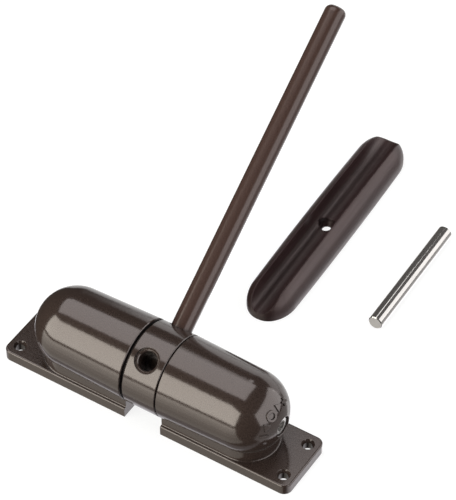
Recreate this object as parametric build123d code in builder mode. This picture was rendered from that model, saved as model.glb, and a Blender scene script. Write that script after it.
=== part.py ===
from build123d import *
import math
import os

# Surface-mounted torsion-spring door closer with its slide guide and tensioning pin.
# Frame: X runs along the body, Y points to the back, Z is up from the mounting surface.
# The origin is the centre of the four foot screws, on the mounting surface.
# Every size is in millimetres and every angle in degrees.

# ---------------------------------------------------------------- driving dimensions
# body
axis_height = 22.9
seam_radius = 19.9
dome_radius = 19.0
dome_x = 45.2
left_face_x = -9.2
right_face_x = 9.85
face_chamfer = 0.35
skirt_half_width = 15.0
skirt_blend = 0.5
# feet
foot_end_x = 76.0
foot_half_width = 16.35
foot_thickness = 5.35
foot_corner_radius = 4.0
foot_edge_radius = 0.8
foot_recess_depth = 1.4
foot_rim_width = 2.2
screw_x = 70.4
screw_y = 10.2
screw_hole_radius = 2.2
screw_head_radius = 3.05
screw_cone_depth = 1.6
screw_boss_radius = 3.6
# cavity
cavity_mouth_radius = 16.9
cavity_dome_radius = 16.2
bush_seat_radius = 17.6
bush_seat_depth = 2.2
boss_face_x = 56.0
# retaining rings
ring_offset = 4.3
ring_thickness = 0.7
ring_inner_radius = 15.9
ring_outer_radius = 17.3
ring_groove_width = 0.9
ring_groove_floor = 15.6
ring_groove_radius = 17.4
ring_gap_angle = 24
# collar
collar_left_x = -7.7
collar_right_x = 9.35
collar_x = 0.6
spigot_radius = 16.5
spigot_depth = 5.2
core_boss_radius = 9.9
core_boss_length = 3.0
collar_edge_chamfer = 0.3
# radial sockets and arm
arm_angle = 54.3
socket_angle = arm_angle - 90
socket_thread_radius = 4.5
socket_chamfer_depth = 0.45
spot_face_radius = 6.0
spot_face_height = 18.85
socket_floor = 8.4
arm_radius = 5.0
arm_reach = 179.2
arm_tip_radius = 3.0
arm_stub_end = 9.2
# travel of the arm and its stop
arm_travel = 140
stop_key_angle = 18
stop_key_length = 1.8
stop_key_radius = 15.4
stop_slack = 0.5
stop_recess_left_x = -11.2
stop_recess_right_x = -9.0
stop_recess_radius = 15.2
# left seam flange
seam_flange_radius = 17.6
# axle, anchor and tension hub
axle_radius = 4.0
axle_left_x = -59.5
axle_right_x = 51.5
axle_end_gap = 0.5
axle_chamfer = 0.5
axle_bush_radius = 6.0
running_gap = 0.06
leg_slot_clearance = 0.1
flange_radius = 14.6
flange_thickness = 4.0
flange_x = 44.0
anchor_hub_radius = 9.0
hub_body_radius = 10.5
hub_shoulder_x = 54.4
hub_face_x = 62.6
hub_nose_chamfer = 0.5
end_hole_radius = 4.6
end_hole_rounding = 0.5
hex_across_flats = 5.0
hex_depth = 5.0
detent_count = 12
detent_depth = 0.9
detent_width = 1.9
detent_taper = 30
# fixing pins
dowel_radius = 1.5
dowel_offset = 6.2
dowel_inner_x = -50.0
dowel_outer_x = -58.0
cross_pin_radius = 1.25
cross_pin_x = -52.5
# springs and their cores
wire_radius = 1.6
leg_radius = 1.7
coil_radius = 13.6
coil_turns = 7
coil_pitch = 3.6
coil_clearance = 2.3
leg_hole_radius = 1.9
core_outer_radius = 11.4
core_inner_radius = 10.0
core_end_gap = 0.3
# click washer
washer_thickness = 0.8
washer_inner_radius = 5.5
washer_outer_radius = 11.5
washer_bump_circle = 8.4
washer_bump_count = 3
washer_bump_radius = 0.8
washer_bump_overhang = 0.5
washer_bump_taper = 20
washer_peg_length = 1.2
washer_peg_radius = 0.75
washer_peg_hole_radius = 0.8
# force marks on the right dome
mark_height = 0.55
mark_root = 1.3
mark_polar_radius = 11.2
mark_stroke = 1.1
mark_length = 4.0
mark_triangle_radius = 2.2
mark_ring_outer = 2.65
mark_ring_inner = 1.6
minus_angle = 77
left_arrow_angle = 54
ring_mark_angle = 26.5
right_arrow_angle = 0
plus_angle = -26
# slide guide
guide_length = 133.3
guide_middle_half_width = 12.3
guide_end_half_width = 11.8
guide_end_length = 15.4
guide_nose = 0.5
guide_flank = 1.7
guide_floor = 3.6
guide_channel_radius = 6.2
guide_channel_half_mouth = 6.6
guide_hole_radius = 2.4
guide_hole_head_radius = 4.1
guide_hole_straight = 0.8
guide_centre = (6.7, 132.45)
guide_turn = 2.42
# tensioning pin
pin_radius = 3.5
pin_length = 68.8
pin_centre = (57.05, 124.4)
pin_turn = 1.4
pin_chamfer = 0.4

# ---------------------------------------------------------------- shared geometry
spin_axis = Axis((0, 0, axis_height), (1, 0, 0))
taper_sine = (seam_radius - dome_radius) / (dome_x - right_face_x)
taper_cosine = math.sqrt(1 - taper_sine**2)
coil_length = coil_turns * coil_pitch
left_coil_x = collar_left_x - spigot_depth - coil_clearance
right_coil_x = collar_right_x + spigot_depth + coil_clearance


def profile_plane(side):
    """Half-section plane through the axis: local x runs outward on the given side."""
    return Plane(origin=(0, 0, axis_height), x_dir=(side, 0, 0), z_dir=(0, -side, 0))


def turned_profile_plane(angle):
    """Half-section plane through the axis, its local y leaning the angle from +Z about +X."""
    turn = math.radians(angle)
    return Plane(
        origin=(0, 0, axis_height), x_dir=(1, 0, 0), z_dir=(0, -math.cos(turn), -math.sin(turn))
    )


def axial_plane(x):
    """Plane square to the axis at x: its origin is on the axis, local x is +Y and local y up."""
    return Plane(origin=(x, 0, axis_height), x_dir=(0, 1, 0), z_dir=(1, 0, 0))


def socket_plane(angle, height):
    """Plane square to a radial socket that leans the angle from vertical towards the back."""
    lean = math.radians(angle)
    direction = Vector(0, math.sin(lean), math.cos(lean))
    origin = Vector(collar_x, 0, axis_height) + direction * height
    return Plane(origin=origin, x_dir=(1, 0, 0), z_dir=direction)


def turned_frame(centre, angle):
    """Frame on the mounting surface, turned about Z."""
    turn = math.radians(angle)
    x_direction = (math.cos(turn), math.sin(turn), 0)
    return Plane(origin=(centre[0], centre[1], 0), x_dir=x_direction, z_dir=(0, 0, 1))


# ---------------------------------------------------------------- housings
def outermost(edges, face_x):
    """The edges that don't lie in the housing's inner end face."""
    return [edge for edge in edges if abs(edge.center().X) > face_x + 0.01]


def is_circle(edge, radius):
    """True for a circular edge of the given radius."""
    return edge.geom_type == GeomType.CIRCLE and abs(edge.radius - radius) < 0.01


def make_housing(side, face_x, ring_x):
    """One die-cast half: tapered shell, domed end, skirt and screw foot. side is -1 or +1."""
    outer_radius = (dome_radius + (dome_x - face_x) * taper_sine) / taper_cosine
    tangent = (dome_x + dome_radius * taper_sine, dome_radius * taper_cosine)
    boss_radius = math.sqrt(cavity_dome_radius**2 - (boss_face_x - dome_x) ** 2)
    foot_length = foot_end_x - face_x
    with BuildPart() as housing:
        # foot plate with rounded outer corners and a soft top rim
        with BuildSketch(Plane.XY):
            with Locations((side * (face_x + foot_length / 2), 0)):
                Rectangle(foot_length, 2 * foot_half_width)
        extrude(amount=foot_thickness)
        fillet(outermost(housing.edges().filter_by(Axis.Z), face_x), radius=foot_corner_radius)
        top_face = housing.faces().sort_by(Axis.Z)[-1]
        fillet(outermost(top_face.edges(), face_x), radius=foot_edge_radius)
        # skirt that carries the shell down to the foot
        with BuildSketch(Plane.XY.offset(foot_thickness)):
            with Locations((side * (face_x + dome_x) / 2, 0)):
                Rectangle(dome_x - face_x, 2 * skirt_half_width)
            with Locations((side * dome_x, 0)):
                Circle(skirt_half_width)
        extrude(amount=axis_height - foot_thickness)
        foot_line = housing.edges().filter_by_position(Axis.Z, foot_thickness, foot_thickness)
        fillet(outermost(foot_line, face_x), radius=skirt_blend)
        # shell and dome, revolved about the axis
        with BuildSketch(profile_plane(side)):
            with BuildLine():
                Polyline(
                    (dome_x + dome_radius, 0),
                    (face_x, 0),
                    (face_x, outer_radius - face_chamfer),
                    (face_x + face_chamfer, outer_radius),
                    tangent,
                )
                CenterArc((dome_x, 0), dome_radius, 0, math.degrees(math.acos(taper_sine)))
            make_face()
        revolve(axis=spin_axis)
        # cavity with its bush seat, closed by the flat boss at the dome end
        with BuildSketch(profile_plane(side)):
            with BuildLine():
                Polyline(
                    (boss_face_x, boss_radius),
                    (boss_face_x, 0),
                    (face_x - 1, 0),
                    (face_x - 1, bush_seat_radius),
                    (face_x + bush_seat_depth, bush_seat_radius),
                    (face_x + bush_seat_depth, cavity_mouth_radius),
                    (dome_x, cavity_dome_radius),
                )
                CenterArc(
                    (dome_x, 0),
                    cavity_dome_radius,
                    90,
                    math.degrees(math.asin(boss_radius / cavity_dome_radius)) - 90,
                )
            make_face()
        revolve(axis=spin_axis, mode=Mode.SUBTRACT)
        # groove for the retaining ring
        with BuildSketch(profile_plane(side)):
            with Locations((ring_x, ring_groove_radius - 1)):
                Rectangle(ring_groove_width, 2)
        revolve(axis=spin_axis, mode=Mode.SUBTRACT)
        # shallow recess under the foot
        with BuildSketch(Plane.XY):
            with Locations((side * (face_x + foot_length / 2), 0)):
                RectangleRounded(
                    foot_length - 2 * foot_rim_width,
                    2 * (foot_half_width - foot_rim_width),
                    foot_corner_radius - 1,
                )
        extrude(amount=foot_recess_depth, mode=Mode.SUBTRACT)
        # a boss under each screw hole, level with the rim
        with BuildSketch(Plane.XY):
            with Locations((side * screw_x, screw_y), (side * screw_x, -screw_y)):
                Circle(screw_boss_radius)
        extrude(amount=foot_recess_depth)
        # countersunk screw holes
        with Locations(
            (side * screw_x, screw_y, foot_thickness),
            (side * screw_x, -screw_y, foot_thickness),
        ):
            Hole(radius=screw_hole_radius, depth=foot_thickness)
        with BuildSketch(Plane.XY.offset(foot_thickness)):
            with Locations((side * screw_x, screw_y), (side * screw_x, -screw_y)):
                Circle(screw_head_radius)
        taper = math.degrees(math.atan((screw_head_radius - screw_hole_radius) / screw_cone_depth))
        extrude(amount=-screw_cone_depth, taper=taper, mode=Mode.SUBTRACT)
    return housing


left_ring_x = collar_left_x - ring_offset
right_ring_x = collar_right_x + ring_offset

left_shell = make_housing(-1, -left_face_x, -left_ring_x)
with BuildPart() as left_housing:
    add(left_shell.part)
    # blind bore for the axle and two dowel holes in the boss
    with BuildSketch(axial_plane(axle_left_x)):
        Circle(axle_radius)
    extrude(amount=-axle_left_x - boss_face_x + 1, mode=Mode.SUBTRACT)
    with BuildSketch(axial_plane(dowel_outer_x)):
        with Locations((dowel_offset, 0), (-dowel_offset, 0)):
            Circle(dowel_radius)
    extrude(amount=-dowel_outer_x - boss_face_x + 1, mode=Mode.SUBTRACT)
left_housing.part.label = "left_housing"


def mark_plane(angle):
    """Tangent plane just above the right dome; local y points away from the end hole."""
    lean = math.radians(angle)
    sine = mark_polar_radius / dome_radius
    cosine = math.sqrt(1 - sine**2)
    normal = Vector(cosine, -sine * math.sin(lean), sine * math.cos(lean))
    tangential = Vector(0, -math.cos(lean), -math.sin(lean))
    origin = Vector(dome_x, 0, axis_height) + normal * (dome_radius + mark_height)
    return Plane(origin=origin, x_dir=tangential, z_dir=normal)


right_shell = make_housing(1, right_face_x, right_ring_x)
with BuildPart() as right_housing:
    add(right_shell.part)
    # end hole that gives access to the tension hub, and the click washer's two peg holes
    with BuildSketch(axial_plane(boss_face_x - 1)):
        Circle(end_hole_radius)
    extrude(amount=dome_radius, mode=Mode.SUBTRACT)
    hole_rims = right_housing.edges().filter_by(lambda edge: is_circle(edge, end_hole_radius))
    fillet(hole_rims.sort_by(Axis.X)[-1], radius=end_hole_rounding)
    with BuildSketch(axial_plane(boss_face_x - 1)):
        with Locations((0, washer_bump_circle), (0, -washer_bump_circle)):
            Circle(washer_peg_hole_radius)
    extrude(amount=washer_peg_length + 1.1, mode=Mode.SUBTRACT)
    # raised force marks: minus, arrow, ring, arrow, plus
    with BuildSketch(mark_plane(minus_angle)):
        Rectangle(mark_stroke, mark_length)
    extrude(amount=-mark_root)
    with BuildSketch(mark_plane(left_arrow_angle)):
        RegularPolygon(radius=mark_triangle_radius, side_count=3)
    extrude(amount=-mark_root)
    with BuildSketch(mark_plane(ring_mark_angle)):
        Circle(mark_ring_outer)
        Circle(mark_ring_inner, mode=Mode.SUBTRACT)
    extrude(amount=-mark_root)
    with BuildSketch(mark_plane(right_arrow_angle)):
        RegularPolygon(radius=mark_triangle_radius, side_count=3, rotation=180)
    extrude(amount=-mark_root)
    with BuildSketch(mark_plane(plus_angle)):
        Rectangle(mark_stroke, mark_length)
        Rectangle(mark_length, mark_stroke)
    extrude(amount=-mark_root)
right_housing.part.label = "right_housing"

# ---------------------------------------------------------------- collar and arm
with BuildPart() as collar:
    # ring, two spigots and two bosses that centre the spring cores
    with BuildSketch(axial_plane(collar_left_x)):
        Circle(seam_radius)
    extrude(amount=collar_right_x - collar_left_x)
    chamfer(collar.edges().filter_by(GeomType.CIRCLE), length=collar_edge_chamfer)
    with BuildSketch(axial_plane(collar_left_x - spigot_depth)):
        Circle(spigot_radius)
    extrude(amount=collar_right_x - collar_left_x + 2 * spigot_depth)
    with BuildSketch(axial_plane(collar_left_x - spigot_depth - core_boss_length)):
        Circle(core_boss_radius)
    extrude(amount=collar_right_x - collar_left_x + 2 * (spigot_depth + core_boss_length))
    # bore for the axle bush
    with BuildSketch(axial_plane(collar_left_x - spigot_depth - core_boss_length)):
        Circle(axle_bush_radius)
    extrude(
        amount=collar_right_x - collar_left_x + 2 * (spigot_depth + core_boss_length),
        mode=Mode.SUBTRACT,
    )
    # grooves for the retaining rings
    with BuildSketch(profile_plane(1)):
        with Locations((left_ring_x, ring_groove_floor + 1), (right_ring_x, ring_groove_floor + 1)):
            Rectangle(ring_groove_width, 2)
    revolve(axis=spin_axis, mode=Mode.SUBTRACT)
    # recess that limits the collar's travel against the key in the left bush
    recess_middle_x = (stop_recess_left_x + stop_recess_right_x) / 2
    with BuildSketch(turned_profile_plane(180 - stop_key_angle / 2 - stop_slack - arm_travel)):
        with Locations((recess_middle_x, stop_recess_radius + 1)):
            Rectangle(stop_recess_right_x - stop_recess_left_x, 2)
    revolve(
        axis=spin_axis,
        revolution_arc=arm_travel + stop_key_angle + 2 * stop_slack,
        mode=Mode.SUBTRACT,
    )
    # two radial sockets, each tapped at the bottom of a spot face
    for angle in (arm_angle, socket_angle):
        with BuildSketch(socket_plane(angle, spot_face_height)):
            Circle(spot_face_radius)
        extrude(amount=seam_radius - spot_face_height + 1, mode=Mode.SUBTRACT)
        with BuildSketch(socket_plane(angle, socket_floor)):
            Circle(socket_thread_radius)
        extrude(amount=seam_radius - socket_floor, mode=Mode.SUBTRACT)
    with BuildSketch(socket_plane(socket_angle, spot_face_height)):
        Circle(socket_thread_radius + socket_chamfer_depth)
    extrude(amount=-socket_chamfer_depth, taper=45, mode=Mode.SUBTRACT)
    # holes for the inner spring legs
    with BuildSketch(axial_plane(collar_left_x - spigot_depth)):
        with Locations((0, coil_radius)):
            Circle(leg_hole_radius)
    extrude(amount=spigot_depth, mode=Mode.SUBTRACT)
    with BuildSketch(axial_plane(collar_right_x)):
        with Locations((0, coil_radius)):
            Circle(leg_hole_radius)
    extrude(amount=spigot_depth, mode=Mode.SUBTRACT)
collar.part.label = "collar"

with BuildPart() as arm_rod:
    # smooth rod above the spot face, with a rounded tip
    with BuildSketch(socket_plane(arm_angle, spot_face_height)):
        Circle(arm_radius)
    extrude(amount=arm_reach - spot_face_height)
    tip = arm_rod.edges().filter_by(GeomType.CIRCLE).sort_by(Axis.Z)[-1]
    fillet(tip, radius=arm_tip_radius)
    # screwed-in end below the shoulder
    with BuildSketch(socket_plane(arm_angle, arm_stub_end)):
        Circle(socket_thread_radius)
    extrude(amount=spot_face_height - arm_stub_end)
arm_rod.part.label = "arm_rod"

with BuildPart() as axle_bush:
    bush_left_x = collar_left_x - spigot_depth - core_boss_length
    with BuildSketch(axial_plane(bush_left_x)):
        Circle(axle_bush_radius)
        Circle(axle_radius + running_gap, mode=Mode.SUBTRACT)
    extrude(amount=collar_right_x + spigot_depth + core_boss_length - bush_left_x)
axle_bush.part.label = "axle_bush"

# ---------------------------------------------------------------- bushes and retaining rings
with BuildPart() as left_bush:
    with BuildSketch(axial_plane(left_face_x - bush_seat_depth)):
        Circle(bush_seat_radius)
        Circle(spigot_radius + running_gap, mode=Mode.SUBTRACT)
    extrude(amount=bush_seat_depth)
    # flange that fills the left seam, set back from the painted surface
    with BuildSketch(axial_plane(left_face_x)):
        Circle(seam_flange_radius)
        Circle(spigot_radius + running_gap, mode=Mode.SUBTRACT)
    extrude(amount=collar_left_x - left_face_x - running_gap)
    # key that stops the collar at both ends of its travel
    with BuildSketch(turned_profile_plane(180 - stop_key_angle / 2)):
        with Locations((left_face_x - stop_key_length / 2, (stop_key_radius + bush_seat_radius) / 2)):
            Rectangle(stop_key_length, bush_seat_radius - stop_key_radius)
    revolve(axis=spin_axis, revolution_arc=stop_key_angle)
left_bush.part.label = "left_bush"

with BuildPart() as right_bush:
    with BuildSketch(axial_plane(right_face_x)):
        Circle(bush_seat_radius)
        Circle(spigot_radius + running_gap, mode=Mode.SUBTRACT)
    extrude(amount=bush_seat_depth)
right_bush.part.label = "right_bush"


def make_retaining_ring(x):
    """Flat snap ring with its gap at the bottom."""
    with BuildPart() as ring:
        with BuildSketch(turned_profile_plane(180 + ring_gap_angle / 2)):
            with Locations((x, (ring_inner_radius + ring_outer_radius) / 2)):
                Rectangle(ring_thickness, ring_outer_radius - ring_inner_radius)
        revolve(axis=spin_axis, revolution_arc=360 - ring_gap_angle)
    return ring


left_retaining_ring = make_retaining_ring(left_ring_x)
left_retaining_ring.part.label = "left_retaining_ring"
right_retaining_ring = make_retaining_ring(right_ring_x)
right_retaining_ring.part.label = "right_retaining_ring"

# ---------------------------------------------------------------- axle and left spring anchor
with BuildPart() as axle:
    with BuildSketch(axial_plane(axle_left_x)):
        Circle(axle_radius)
    extrude(amount=axle_right_x - axle_left_x)
    chamfer(axle.edges().filter_by(GeomType.CIRCLE), length=axle_chamfer)
    with BuildSketch(Plane.XY.offset(axis_height)):
        with Locations((cross_pin_x, 0)):
            Circle(cross_pin_radius)
    extrude(amount=anchor_hub_radius, both=True, mode=Mode.SUBTRACT)
axle.part.label = "axle"

with BuildPart() as spring_anchor:
    # flange that takes the left spring's outer leg
    with BuildSketch(axial_plane(-flange_x - flange_thickness)):
        Circle(flange_radius)
        with Locations((0, coil_radius)):
            Circle(leg_radius + leg_slot_clearance, mode=Mode.SUBTRACT)
    extrude(amount=flange_thickness)
    # hub that rests on the boss, and a short step that centres the spring core
    with BuildSketch(axial_plane(-boss_face_x)):
        Circle(anchor_hub_radius)
    extrude(amount=boss_face_x - flange_x - flange_thickness)
    with BuildSketch(axial_plane(-flange_x)):
        Circle(core_inner_radius)
    extrude(amount=core_boss_length)
    # axle bore, dowel holes and cross-pin hole
    with BuildSketch(axial_plane(-boss_face_x)):
        Circle(axle_radius)
    extrude(amount=2 * boss_face_x, mode=Mode.SUBTRACT)
    with BuildSketch(axial_plane(-boss_face_x)):
        with Locations((dowel_offset, 0), (-dowel_offset, 0)):
            Circle(dowel_radius)
    extrude(amount=dowel_inner_x + boss_face_x, mode=Mode.SUBTRACT)
    with BuildSketch(Plane.XY.offset(axis_height)):
        with Locations((cross_pin_x, 0)):
            Circle(cross_pin_radius)
    extrude(amount=anchor_hub_radius + 1, both=True, mode=Mode.SUBTRACT)
spring_anchor.part.label = "spring_anchor"

with BuildPart() as anchor_dowels:
    with BuildSketch(axial_plane(dowel_outer_x)):
        with Locations((dowel_offset, 0), (-dowel_offset, 0)):
            Circle(dowel_radius)
    extrude(amount=dowel_inner_x - dowel_outer_x)
anchor_dowels.part.label = "anchor_dowels"

with BuildPart() as axle_cross_pin:
    with BuildSketch(Plane.XY.offset(axis_height)):
        with Locations((cross_pin_x, 0)):
            Circle(cross_pin_radius)
            Circle(cross_pin_radius / 2, mode=Mode.SUBTRACT)
    extrude(amount=anchor_hub_radius - 0.5, both=True)
axle_cross_pin.part.label = "axle_cross_pin"

# ---------------------------------------------------------------- tension hub and click washer
with BuildPart() as tension_hub:
    # notched flange that takes the right spring's outer leg
    with BuildSketch(axial_plane(flange_x)):
        Circle(flange_radius)
        with Locations((0, coil_radius)):
            Circle(leg_radius + leg_slot_clearance, mode=Mode.SUBTRACT)
    extrude(amount=flange_thickness)
    with BuildSketch(axial_plane(flange_x - core_boss_length)):
        Circle(core_boss_radius)
    extrude(amount=core_boss_length)
    with BuildSketch(axial_plane(flange_x + flange_thickness)):
        Circle(hub_body_radius)
    extrude(amount=hub_shoulder_x - flange_x - flange_thickness)
    # radial detent grooves in the end face
    with BuildSketch(axial_plane(hub_shoulder_x)):
        with PolarLocations(washer_bump_circle, detent_count):
            Rectangle(2 * (hub_body_radius - end_hole_radius), detent_width)
    extrude(amount=-detent_depth, taper=detent_taper, mode=Mode.SUBTRACT)
    # nose in the end hole, with its key socket
    with BuildSketch(axial_plane(hub_shoulder_x - 1)):
        Circle(end_hole_radius - running_gap)
    extrude(amount=hub_face_x - hub_shoulder_x + 1)
    nose_rim = tension_hub.edges().filter_by(GeomType.CIRCLE).sort_by(Axis.X)[-1]
    chamfer(nose_rim, length=hub_nose_chamfer)
    with BuildSketch(axial_plane(hub_face_x)):
        RegularPolygon(radius=hex_across_flats / 2, side_count=6, major_radius=False)
    extrude(amount=-hex_depth, mode=Mode.SUBTRACT)
    # blind bore that turns on the axle
    with BuildSketch(axial_plane(flange_x - core_boss_length)):
        Circle(axle_radius + running_gap)
    extrude(
        amount=axle_right_x + axle_end_gap - flange_x + core_boss_length, mode=Mode.SUBTRACT
    )
tension_hub.part.label = "tension_hub"

with BuildPart() as click_washer:
    with BuildSketch(axial_plane(boss_face_x - washer_thickness)):
        Circle(washer_outer_radius)
        Circle(washer_inner_radius, mode=Mode.SUBTRACT)
    extrude(amount=washer_thickness)
    # bumps that sit in the hub's grooves
    with BuildSketch(axial_plane(boss_face_x - washer_thickness)):
        with PolarLocations(washer_bump_circle, washer_bump_count):
            Circle(washer_bump_radius)
    bump_reach = boss_face_x - washer_thickness - hub_shoulder_x + washer_bump_overhang
    extrude(amount=-bump_reach, taper=washer_bump_taper)
    # two pegs that keep it from turning in the housing
    with BuildSketch(axial_plane(boss_face_x - washer_thickness / 2)):
        with Locations((0, washer_bump_circle), (0, -washer_bump_circle)):
            Circle(washer_peg_radius)
    extrude(amount=washer_peg_length + washer_thickness / 2 - 0.1)
click_washer.part.label = "click_washer"

# ---------------------------------------------------------------- torsion springs and cores


def make_spring(start_x, start_leg, end_leg):
    """Round-wire torsion spring: coils about the axis and an axial leg at each end."""
    with BuildPart() as spring:
        with BuildLine():
            coil = Helix(
                pitch=coil_pitch,
                height=coil_length,
                radius=coil_radius,
                center=(start_x, 0, axis_height),
                direction=(1, 0, 0),
            )
        with BuildSketch(Plane(origin=coil @ 0, z_dir=coil % 0)):
            Circle(wire_radius)
        sweep(path=coil, is_frenet=True)
        for point, way, leg in ((coil @ 0, -1, start_leg), (coil @ 1, 1, end_leg)):
            corner = point - Vector(way * leg_radius, 0, 0)
            with BuildSketch(Plane(origin=corner, x_dir=(0, 1, 0), z_dir=(way, 0, 0))):
                Circle(leg_radius)
            extrude(amount=leg_radius + leg)
    return spring


inner_leg = coil_clearance + spigot_depth - 1
outer_leg = flange_x + flange_thickness - right_coil_x - coil_length
left_torsion_spring = make_spring(left_coil_x - coil_length, outer_leg, inner_leg)
left_torsion_spring.part.label = "left_torsion_spring"
right_torsion_spring = make_spring(right_coil_x, inner_leg, outer_leg)
right_torsion_spring.part.label = "right_torsion_spring"


def make_core(inner_x, outer_x):
    """Plastic tube that keeps the coils centred on the axle."""
    with BuildPart() as core:
        with BuildSketch(axial_plane(inner_x)):
            Circle(core_outer_radius)
            Circle(core_inner_radius, mode=Mode.SUBTRACT)
        extrude(amount=outer_x - inner_x)
    return core


left_spring_core = make_core(-flange_x, collar_left_x - spigot_depth - core_end_gap)
left_spring_core.part.label = "left_spring_core"
right_spring_core = make_core(
    collar_right_x + spigot_depth + core_end_gap, flange_x - core_end_gap
)
right_spring_core.part.label = "right_spring_core"

# ---------------------------------------------------------------- loose slide guide
guide_frame = turned_frame(guide_centre, guide_turn)
guide_top = guide_flank + guide_middle_half_width
guide_section = Plane(
    origin=guide_frame.from_local_coords((0, -guide_length / 2, 0)),
    x_dir=-guide_frame.x_dir,
    z_dir=guide_frame.y_dir,
)


def half_guide_outline():
    """Half of the plan outline: gently barrelled side between two elliptical ends."""
    end_centre = guide_length / 2 - guide_end_length
    end_width = guide_end_half_width - guide_nose
    Polyline(
        (guide_nose, -guide_length / 2),
        (0, -guide_length / 2),
        (0, guide_length / 2),
        (guide_nose, guide_length / 2),
    )
    EllipticalCenterArc(
        (guide_nose, -end_centre), end_width, guide_end_length, start_angle=270, arc_size=90
    )
    ThreePointArc(
        (guide_end_half_width, -end_centre),
        (guide_middle_half_width, 0),
        (guide_end_half_width, end_centre),
    )
    EllipticalCenterArc(
        (guide_nose, end_centre), end_width, guide_end_length, start_angle=0, arc_size=90
    )


with BuildPart() as slide_guide:
    # half-round bar: low flank, then the outline turned over the top about the long axis
    with BuildSketch(guide_frame):
        with BuildLine():
            half_guide_outline()
        make_face()
        mirror(about=Plane.YZ)
    extrude(amount=guide_flank)
    with BuildSketch(guide_frame.offset(guide_flank)):
        with BuildLine():
            half_guide_outline()
        make_face()
    turning_axis = Axis(guide_frame.offset(guide_flank).origin, -guide_frame.y_dir)
    revolve(axis=turning_axis, revolution_arc=180)
    # open round-bottomed channel for the arm
    channel_centre_height = guide_floor + guide_channel_radius
    with BuildSketch(guide_section):
        with BuildLine():
            ThreePointArc(
                (-guide_channel_radius, channel_centre_height),
                (0, guide_floor),
                (guide_channel_radius, channel_centre_height),
            )
            Polyline(
                (guide_channel_radius, channel_centre_height),
                (guide_channel_half_mouth, guide_top),
                (-guide_channel_half_mouth, guide_top),
                (-guide_channel_radius, channel_centre_height),
            )
        make_face()
    extrude(amount=guide_length, mode=Mode.SUBTRACT)
    # single countersunk screw hole
    guide_cone_depth = guide_hole_head_radius - guide_hole_radius
    with BuildSketch(guide_frame):
        Circle(guide_hole_radius)
    extrude(amount=guide_floor, mode=Mode.SUBTRACT)
    with BuildSketch(guide_frame.offset(guide_hole_straight)):
        Circle(guide_hole_radius)
    extrude(amount=guide_cone_depth, taper=-45, mode=Mode.SUBTRACT)
    with BuildSketch(guide_frame.offset(guide_hole_straight + guide_cone_depth)):
        Circle(guide_hole_head_radius)
    extrude(amount=guide_floor, mode=Mode.SUBTRACT)
slide_guide.part.label = "slide_guide"

# ---------------------------------------------------------------- loose tensioning pin
pin_frame = turned_frame(pin_centre, pin_turn)
with BuildPart() as tension_pin:
    pin_start = pin_frame.from_local_coords((0, -pin_length / 2, pin_radius))
    with BuildSketch(Plane(origin=pin_start, x_dir=-pin_frame.x_dir, z_dir=pin_frame.y_dir)):
        Circle(pin_radius)
    extrude(amount=pin_length)
    chamfer(tension_pin.edges().filter_by(GeomType.CIRCLE), length=pin_chamfer)
tension_pin.part.label = "tension_pin"

# ---------------------------------------------------------------- export
os.makedirs("parts", exist_ok=True)
for piece in (
    left_housing,
    right_housing,
    collar,
    arm_rod,
    axle_bush,
    left_bush,
    right_bush,
    left_retaining_ring,
    right_retaining_ring,
    axle,
    spring_anchor,
    anchor_dowels,
    axle_cross_pin,
    tension_hub,
    click_washer,
    left_torsion_spring,
    right_torsion_spring,
    left_spring_core,
    right_spring_core,
    slide_guide,
    tension_pin,
):
    export_step(piece.part, f"parts/{piece.part.label}.step")
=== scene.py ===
import math

import bmesh
import bpy
from mathutils import Matrix, Vector

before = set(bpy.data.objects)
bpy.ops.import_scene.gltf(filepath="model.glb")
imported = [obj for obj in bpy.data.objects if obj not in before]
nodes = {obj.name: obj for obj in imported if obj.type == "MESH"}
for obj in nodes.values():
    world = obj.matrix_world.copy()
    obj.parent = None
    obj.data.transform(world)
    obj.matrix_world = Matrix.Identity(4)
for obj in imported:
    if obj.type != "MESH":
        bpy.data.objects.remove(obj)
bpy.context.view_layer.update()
scene = bpy.context.scene

# ------------------------------------------------------------------ camera
CAMERA_PLACE = Vector((0.452508, -0.654653, 0.916788))
CAMERA_RIGHT = Vector((0.8432382, 0.5375401, 0.0))
CAMERA_BACK = Vector((0.3744764, -0.5874406, 0.7174127))
CAMERA_LENS = 194.38
SENSOR_WIDTH = 36.0
NEAREST_SEEN = 0.01

camera_data = bpy.data.cameras.new("camera")
camera_data.lens = CAMERA_LENS
camera_data.sensor_width = SENSOR_WIDTH
camera_data.clip_start = NEAREST_SEEN
camera = bpy.data.objects.new("camera", camera_data)
scene.collection.objects.link(camera)
camera_up = CAMERA_BACK.cross(CAMERA_RIGHT)
turn = Matrix((CAMERA_RIGHT, camera_up, CAMERA_BACK)).transposed().to_4x4()
camera.matrix_world = Matrix.Translation(CAMERA_PLACE) @ turn
scene.camera = camera

# ------------------------------------------------------------------ studio
scene.view_settings.view_transform = "Standard"

FLOOR_SIZE = 12.0
FLOOR_COLOUR = (0.22, 0.22, 0.22, 1.0)
FLOOR_GLOW = 0.84
FLOOR_ROUGHNESS = 0.9
BACKDROP_RADIUS = 5.8
BACKDROP_SUBDIVISIONS = 4
BACKDROP_GLOW = 0.84
ROOM_COLOUR = (0.030, 0.027, 0.025, 1.0)
WARM = (1.0, 1.0, 0.91)
COOL = (0.97, 0.95, 1.0)
WHITE = (1.0, 1.0, 1.0)
SOFTBOX_DISTANCE = 1.5
OVERHEAD_HEIGHT = 1.4
FRONT_SIDE = (-150, -85)


def grey(value):
    return (value, value, value, 1.0)


def area_light(name, size, radiance, colour):
    """Rectangular soft light of the given brightness, not seen by the camera itself."""
    data = bpy.data.lights.new(name, "AREA")
    data.shape = "RECTANGLE"
    data.size, data.size_y = size
    data.energy = radiance * math.pi * size[0] * size[1]
    data.color = colour
    light = bpy.data.objects.new(name, data)
    scene.collection.objects.link(light)
    light.visible_camera = False
    return light


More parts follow.
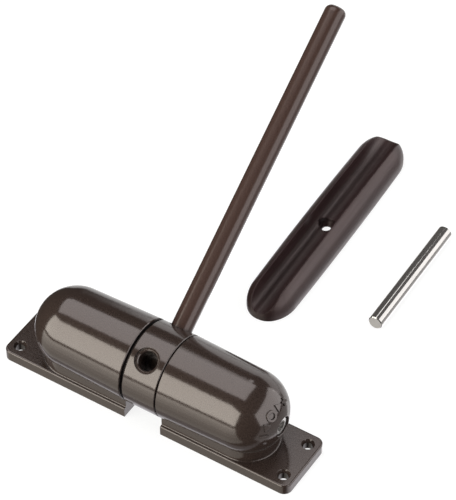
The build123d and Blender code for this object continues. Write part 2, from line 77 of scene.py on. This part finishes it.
def softbox(name, azimuth, elevation, radiance, colour=WHITE):
    """Soft light that looks at the object and fills the given ranges of azimuth and elevation."""
    half_width = math.radians(azimuth[1] - azimuth[0]) / 2
    half_height = math.radians(elevation[1] - elevation[0]) / 2
    width = 2 * SOFTBOX_DISTANCE * math.tan(half_width)
    height = 2 * SOFTBOX_DISTANCE * math.tan(half_height)
    light = area_light(name, (width, height), radiance, colour)
    a = math.radians(sum(azimuth) / 2)
    e = math.radians(sum(elevation) / 2)
    way = Vector((math.cos(e) * math.cos(a), math.cos(e) * math.sin(a), math.sin(e)))
    light.location = way * SOFTBOX_DISTANCE
    light.rotation_euler = (-way).to_track_quat("-Z", "Y").to_euler()
    return light


def overhead_light(name, low, high, height, radiance, colour=WHITE):
    """Horizontal soft light that covers the plan rectangle low to high at the given height."""
    light = area_light(name, (high[0] - low[0], high[1] - low[1]), radiance, colour)
    light.location = ((low[0] + high[0]) / 2, (low[1] + high[1]) / 2, height)
    return light


softbox("front_light", FRONT_SIDE, (-2.5, 43.5), 4.9, WARM)
softbox("side_light", (-28, 62), (-2, 45), 2.4)
softbox("back_light", (62, 115.5), (-2, 25), 1.15)
overhead_light("top_light", (-1.40, -0.47), (0.14, 0.86), OVERHEAD_HEIGHT, 2.4)
overhead_light("rear_top_light", (-0.65, 0.86), (-0.21, 1.10), OVERHEAD_HEIGHT, 1.5)
overhead_light("strip_light", (-0.48, 1.12), (-0.22, 1.27), OVERHEAD_HEIGHT, 3.0)

# the same lights as the table top reflects them, fading towards the camera:
# lowest and highest elevation in degrees, then brightness
FRONT_GLOW = [
    (-16, -8.5, 2.4),
    (-22, -16, 1.7),
    (-30, -22, 1.4),
    (-40, -30, 0.9),
    (-60, -40, 0.65),
]
for number, (low, high, radiance) in enumerate(FRONT_GLOW):
    softbox(f"front_glow_{number}", FRONT_SIDE, (low, high), radiance, WARM)
softbox("side_glow", (-28, 66), (-56, -8), 0.55)
softbox("back_glow", (66, 132), (-55, -4), 1.0)
# light under the object: plan range from front to back, then brightness
UNDER_GLOW = [
    (-0.62, -0.10, 0.25),
    (-0.10, 1.40, 0.9),
]
UNDER_GLOW_HALF_WIDTH = 1.40
for number, (low, high, radiance) in enumerate(UNDER_GLOW):
    front_left = (-UNDER_GLOW_HALF_WIDTH, low)
    back_right = (UNDER_GLOW_HALF_WIDTH, high)
    under_glow = overhead_light(
        f"under_glow_{number}", front_left, back_right, -OVERHEAD_HEIGHT, radiance, COOL
    )
    under_glow.rotation_euler = (math.pi, 0, 0)

world = bpy.data.worlds.new("studio")
world.use_nodes = True
world.node_tree.nodes["Background"].inputs["Color"].default_value = ROOM_COLOUR
scene.world = world

floor_mesh = bpy.data.meshes.new("floor")
half = FLOOR_SIZE / 2
floor_mesh.from_pydata(
    [(-half, -half, 0), (half, -half, 0), (half, half, 0), (-half, half, 0)], [], [(0, 1, 2, 3)]
)
floor = bpy.data.objects.new("floor", floor_mesh)
scene.collection.objects.link(floor)
floor.visible_glossy = False
floor.visible_shadow = False
floor.visible_diffuse = False
floor_material = bpy.data.materials.new("floor")
floor_material.use_nodes = True
floor_shader = floor_material.node_tree.nodes["Principled BSDF"]
floor_shader.inputs["Base Color"].default_value = FLOOR_COLOUR
floor_shader.inputs["Roughness"].default_value = FLOOR_ROUGHNESS
floor_shader.inputs["Specular IOR Level"].default_value = 0.0
floor_shader.inputs["Emission Color"].default_value = grey(1.0)
floor_shader.inputs["Emission Strength"].default_value = FLOOR_GLOW
floor_mesh.materials.append(floor_material)

backdrop_bmesh = bmesh.new()
bmesh.ops.create_icosphere(backdrop_bmesh, subdivisions=BACKDROP_SUBDIVISIONS, radius=BACKDROP_RADIUS)
backdrop_mesh = bpy.data.meshes.new("backdrop")
backdrop_bmesh.to_mesh(backdrop_mesh)
backdrop_bmesh.free()
backdrop = bpy.data.objects.new("backdrop", backdrop_mesh)
scene.collection.objects.link(backdrop)
for seen_by in ("diffuse", "glossy", "transmission", "shadow"):
    setattr(backdrop, f"visible_{seen_by}", False)
backdrop_material = bpy.data.materials.new("backdrop")
backdrop_material.use_nodes = True
backdrop_shader = backdrop_material.node_tree.nodes["Principled BSDF"]
backdrop_shader.inputs["Base Color"].default_value = grey(0.0)
backdrop_shader.inputs["Emission Color"].default_value = grey(1.0)
backdrop_shader.inputs["Emission Strength"].default_value = BACKDROP_GLOW
backdrop_mesh.materials.append(backdrop_material)


# ------------------------------------------------------------------ materials
# lengths in metres, noise scales in cells per metre
BEVEL_SAMPLES = 6
OPENNESS_SAMPLES = 8
RECESS_REACH = 0.004
RECESS_ROUGHNESS = 0.55
FLAKE_SCALE = 2400.0
GLOSS_SCALE = 1500.0
PEEL_SCALE = 420.0
PEEL_DEPTH = 0.0002
PAINT_EDGE = 0.00025
PAINT_TINT = (1.0, 0.905, 0.885, 1.0)
SHEEN_WEIGHT = 0.04
SHEEN_ROUGHNESS = 0.25
CLOUD_SCALE = 60.0
LINE_SCALE = 1100.0
LINE_STRETCH = 60.0
LINE_STRENGTH = 0.35
LINE_DEPTH = 0.0001
PLASTIC_EDGE = 0.0009
PLASTIC_TINT = (1.0, 0.84, 0.82, 1.0)
SATIN_LOW = 0.32
SATIN_HIGH = 0.44
MARK_SCALE = 1500.0
MARK_STRETCH = 40.0
MARK_DARKENING = 0.88


def new_material(name):
    material = bpy.data.materials.new(name)
    material.use_nodes = True
    return material, material.node_tree, material.node_tree.nodes["Principled BSDF"]


def noise(tree, coords, scale, detail=2.0, roughness=0.5):
    node = tree.nodes.new("ShaderNodeTexNoise")
    node.inputs["Scale"].default_value = scale
    node.inputs["Detail"].default_value = detail
    node.inputs["Roughness"].default_value = roughness
    tree.links.new(coords, node.inputs["Vector"])
    return node.outputs["Fac"]


def ramp(tree, value, stops):
    node = tree.nodes.new("ShaderNodeValToRGB")
    elements = node.color_ramp.elements
    elements[0].position, elements[0].color = stops[0]
    elements[1].position, elements[1].color = stops[-1]
    for position, colour in stops[1:-1]:
        element = elements.new(position)
        element.color = colour
    tree.links.new(value, node.inputs["Fac"])
    return node.outputs["Color"]


def object_coords(tree):
    return tree.nodes.new("ShaderNodeTexCoord").outputs["Object"]


def bump(tree, shader, height, strength, distance, edge):
    """Surface relief of the given depth, over edges that look rounded to the radius edge."""
    node = tree.nodes.new("ShaderNodeBump")
    bevel = tree.nodes.new("ShaderNodeBevel")
    bevel.samples = BEVEL_SAMPLES
    bevel.inputs["Radius"].default_value = edge
    tree.links.new(bevel.outputs["Normal"], node.inputs["Normal"])
    node.inputs["Strength"].default_value = strength
    node.inputs["Distance"].default_value = distance
    tree.links.new(height, node.inputs["Height"])
    tree.links.new(node.outputs["Normal"], shader.inputs["Normal"])


def blend(tree, factor, first, second):
    """Colour that goes from first to second; each is a socket or a plain colour."""
    node = tree.nodes.new("ShaderNodeMix")
    node.data_type = "RGBA"
    tree.links.new(factor, node.inputs["Factor"])
    for socket, value in (("A", first), ("B", second)):
        if isinstance(value, tuple):
            node.inputs[socket].default_value = value
        else:
            tree.links.new(value, node.inputs[socket])
    return node.outputs["Result"]


def openness(tree, reach):
    """0 in recesses, holes and gaps narrower than reach, 1 on open surfaces."""
    node = tree.nodes.new("ShaderNodeAmbientOcclusion")
    node.samples = OPENNESS_SAMPLES
    node.inputs["Distance"].default_value = reach
    return ramp(tree, node.outputs["AO"], [(0.35, grey(0.0)), (0.75, grey(1.0))])


def paint(name, low_rough, high_rough, light, dark, peel, ior):
    """Glossy stoving enamel with fine metallic flake and orange peel, dull in recesses, with painted
    shade that darkens the colour there.
    """
    material, tree, shader = new_material(name)
    coords = object_coords(tree)
    # mask for the painted shade and the duller gloss in recesses, holes and gaps
    is_open = openness(tree, RECESS_REACH)
    flake = noise(tree, coords, FLAKE_SCALE, 1.0)
    colour = ramp(tree, flake, [(0.30, dark), (0.72, light)])
    # painted shade: the base colour goes almost black in recesses, holes and gaps
    tree.links.new(blend(tree, is_open, PAINTED_RECESS_SHADE, colour), shader.inputs["Base Color"])
    gloss = noise(tree, coords, GLOSS_SCALE)
    rough = ramp(tree, gloss, [(0.3, grey(low_rough)), (0.7, grey(high_rough))])
    tree.links.new(blend(tree, is_open, grey(RECESS_ROUGHNESS), rough), shader.inputs["Roughness"])
    shader.inputs["IOR"].default_value = ior
    shader.inputs["Specular Tint"].default_value = PAINT_TINT
    bump(tree, shader, noise(tree, coords, PEEL_SCALE, 4.0), peel, PEEL_DEPTH, PAINT_EDGE)
    shader.inputs["Sheen Weight"].default_value = SHEEN_WEIGHT
    shader.inputs["Sheen Roughness"].default_value = SHEEN_ROUGHNESS
    return material


def stretched(tree, coords, turn_degrees, along):
    """Coordinates squeezed lengthwise, so that noise on them turns into long marks."""
    node = tree.nodes.new("ShaderNodeMapping")
    node.vector_type = "TEXTURE"
    node.inputs["Rotation"].default_value = (0, 0, math.radians(turn_degrees))
    node.inputs["Scale"].default_value = (1, along, 1)
    tree.links.new(coords, node.inputs["Vector"])
    return node.outputs["Vector"]


def plastic(name, turn_degrees, dark, light):
    """Moulded plastic with a satin skin and faint lines along its length."""
    material, tree, shader = new_material(name)
    coords = object_coords(tree)
    cloud = noise(tree, coords, CLOUD_SCALE, 3.0)
    colour = ramp(tree, cloud, [(0.3, dark), (0.7, light)])
    tree.links.new(colour, shader.inputs["Base Color"])
    lines = noise(tree, stretched(tree, coords, turn_degrees, LINE_STRETCH), LINE_SCALE, 3.0)
    rough = ramp(tree, lines, [(0.35, grey(SATIN_LOW)), (0.65, grey(SATIN_HIGH))])
    tree.links.new(rough, shader.inputs["Roughness"])
    shader.inputs["Specular Tint"].default_value = PLASTIC_TINT
    bump(tree, shader, lines, LINE_STRENGTH, LINE_DEPTH, PLASTIC_EDGE)
    return material


def steel(name, turn_degrees, base, low_rough, high_rough, metallic):
    """Drawn or turned metal with faint marks along its length."""
    material, tree, shader = new_material(name)
    coords = object_coords(tree)
    shader.inputs["Metallic"].default_value = metallic
    marks = noise(tree, stretched(tree, coords, turn_degrees, MARK_STRETCH), MARK_SCALE, 2.0)
    darker = tuple(channel * MARK_DARKENING for channel in base[:3]) + (1.0,)
    tree.links.new(ramp(tree, marks, [(0.3, darker), (0.7, base)]), shader.inputs["Base Color"])
    rough = ramp(tree, marks, [(0.3, grey(low_rough)), (0.7, grey(high_rough))])
    tree.links.new(rough, shader.inputs["Roughness"])
    return material


def dull_ends(material, colour, roughness, metallic):
    """Makes the faces square to Y, the sawn ends of a bar, paler and rougher."""
    tree = material.node_tree
    shader = tree.nodes["Principled BSDF"]
    split = tree.nodes.new("ShaderNodeSeparateXYZ")
    normal = tree.nodes.new("ShaderNodeTexCoord").outputs["Normal"]
    tree.links.new(normal, split.inputs["Vector"])
    size = tree.nodes.new("ShaderNodeMath")
    size.operation = "ABSOLUTE"
    tree.links.new(split.outputs["Y"], size.inputs[0])
    end = ramp(tree, size.outputs["Value"], [(0.85, grey(0.0)), (0.95, grey(1.0))])
    looks = (
        ("Base Color", colour),
        ("Roughness", grey(roughness)),
        ("Metallic", grey(metallic)),
    )
    for socket, value in looks:
        target = shader.inputs[socket]
        if target.is_linked:
            before = target.links[0].from_socket
        else:
            before = grey(target.default_value)
        tree.links.new(blend(tree, end, before, value), target)


# painted shade: near-black colour that the paint is blended to in recesses, holes and gaps
PAINTED_RECESS_SHADE = (0.006, 0.0045, 0.004, 1)
DARK_BROWN = (0.024, 0.0160, 0.0135, 1)
LIGHT_BROWN = (0.040, 0.0275, 0.0235, 1)
BRIGHT_STEEL = (0.45, 0.43, 0.415, 1)
DULL_STEEL = (0.42, 0.41, 0.40, 1)
DARK_STEEL = (0.20, 0.19, 0.185, 1)
HUB_STEEL = (0.72, 0.70, 0.68, 1)
BRONZE = (0.52, 0.33, 0.14, 1)
PIN_END = (0.57, 0.54, 0.54, 1)
GUIDE_DARK = (0.021, 0.0105, 0.0105, 1)
GUIDE_LIGHT = (0.029, 0.0145, 0.0145, 1)
BEARING_DARK = (0.012, 0.010, 0.010, 1)
BEARING_LIGHT = (0.018, 0.015, 0.015, 1)
CORE_DARK = (0.50, 0.47, 0.40, 1)
CORE_LIGHT = (0.58, 0.55, 0.48, 1)
GUIDE_TURN = 2.42
PIN_TURN = 1.4
ARM_LIGHT = (0.056, 0.032, 0.027, 1)
ARM_DARK = (0.041, 0.0235, 0.0195, 1)
body_paint = paint("body_paint", 0.12, 0.17, LIGHT_BROWN, DARK_BROWN, 0.09, 1.65)
arm_paint = paint("arm_paint", 0.20, 0.26, ARM_LIGHT, ARM_DARK, 0.03, 1.5)
guide_plastic = plastic("guide_plastic", GUIDE_TURN, GUIDE_DARK, GUIDE_LIGHT)
bearing_plastic = plastic("bearing_plastic", 0.0, BEARING_DARK, BEARING_LIGHT)
core_plastic = plastic("core_plastic", 0.0, CORE_DARK, CORE_LIGHT)
pin_steel = steel("pin_steel", PIN_TURN, BRIGHT_STEEL, 0.09, 0.14, 0.83)
dull_ends(pin_steel, PIN_END, 0.5, 0.3)
turned_steel = steel("turned_steel", 0.0, DULL_STEEL, 0.25, 0.35, 1.0)
spring_steel = steel("spring_steel", 0.0, DARK_STEEL, 0.30, 0.42, 1.0)
hub_steel = steel("hub_steel", 0.0, HUB_STEEL, 0.30, 0.42, 0.9)
bush_bronze = steel("bush_bronze", 0.0, BRONZE, 0.22, 0.34, 1.0)

FINISHES = {
    body_paint: ("left_housing", "right_housing", "collar"),
    arm_paint: ("arm_rod",),
    guide_plastic: ("slide_guide",),
    pin_steel: ("tension_pin",),
    hub_steel: ("tension_hub",),
    bearing_plastic: ("left_bush", "right_bush"),
    core_plastic: ("left_spring_core", "right_spring_core"),
    bush_bronze: ("axle_bush",),
    turned_steel: ("axle", "spring_anchor", "anchor_dowels"),
    spring_steel: (
        "left_torsion_spring",
        "right_torsion_spring",
        "left_retaining_ring",
        "right_retaining_ring",
        "click_washer",
        "axle_cross_pin",
    ),
}
for material, names in FINISHES.items():
    for name in names:
        nodes[name].data.materials.clear()
        nodes[name].data.materials.append(material)
